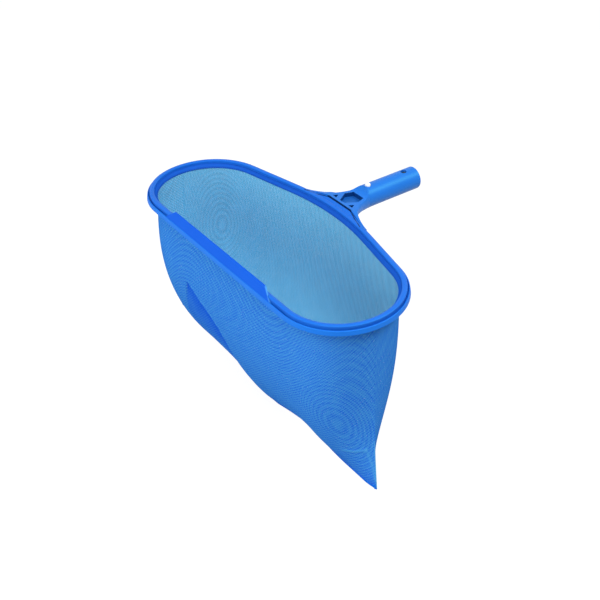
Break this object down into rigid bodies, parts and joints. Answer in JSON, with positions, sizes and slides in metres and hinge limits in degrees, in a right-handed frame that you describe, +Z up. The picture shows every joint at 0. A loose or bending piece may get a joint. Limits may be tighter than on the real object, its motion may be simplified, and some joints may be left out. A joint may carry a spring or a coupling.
{
  "type": "leaf skimmer net",
  "caption": "Deep leaf net for a pool: a wide flat-fronted rim with a scoop lip, a sewn mesh bag below it, and a flared yoke with a round spigot whose spring buttons lock into a pole.",
  "frame": {"origin": "On the axis of the round spigot, half way along its full round wall.", "axes": "+Y runs along the spigot towards the pole, +X along the rim's width, and +Z up out of the net's mouth."},
  "size_m": [0.455, 0.3107, 0.2685],
  "materials": {
    "rim_plastic": "smooth moulded polypropylene, satin",
    "handle_plastic": "smooth moulded plastic, satin",
    "lip_plastic": "soft flexible plastic, matt",
    "net_mesh": "fine open woven mesh",
    "hem_fabric": "folded woven band",
    "seam_fabric": "folded and overlocked mesh",
    "cord_plastic": "round extruded cord",
    "clip_plastic": "white moulded nylon",
    "screw_steel": "stainless pan-head self-tapping screws"
  },
  "bodies": {
    "root": {"rim_channel": "rim_plastic", "clamp_bead": "rim_plastic", "net_cord": "cord_plastic", "net_hem": "hem_fabric", "net_front_panel": "net_mesh", "net_back_panel": "net_mesh", "net_bottom_seam": "seam_fabric", "net_left_seam": "seam_fabric", "net_right_seam": "seam_fabric", "scoop_lip": "lip_plastic", "handle": "handle_plastic", "yoke_screws": "screw_steel", "clip_bend": "clip_plastic"},
    "clip_arm_upper": {"clip_arm_upper": "clip_plastic"},
    "clip_arm_lower": {"clip_arm_lower": "clip_plastic"}
  },
  "joints": [
    {"name": "clip_arm_upper_press", "type": "hinge", "parent": "root", "child": "clip_arm_upper", "pos_m": [0, -0.00225, 0.0102], "axis": [1, 0, 0], "range_deg": [0, 6], "stiffness_Nm_per_rad": 3},
    {"name": "clip_arm_lower_press", "type": "hinge", "parent": "root", "child": "clip_arm_lower", "pos_m": [0, -0.00225, -0.0102], "axis": [-1, 0, 0], "range_deg": [0, 6], "stiffness_Nm_per_rad": 3}
  ]
}
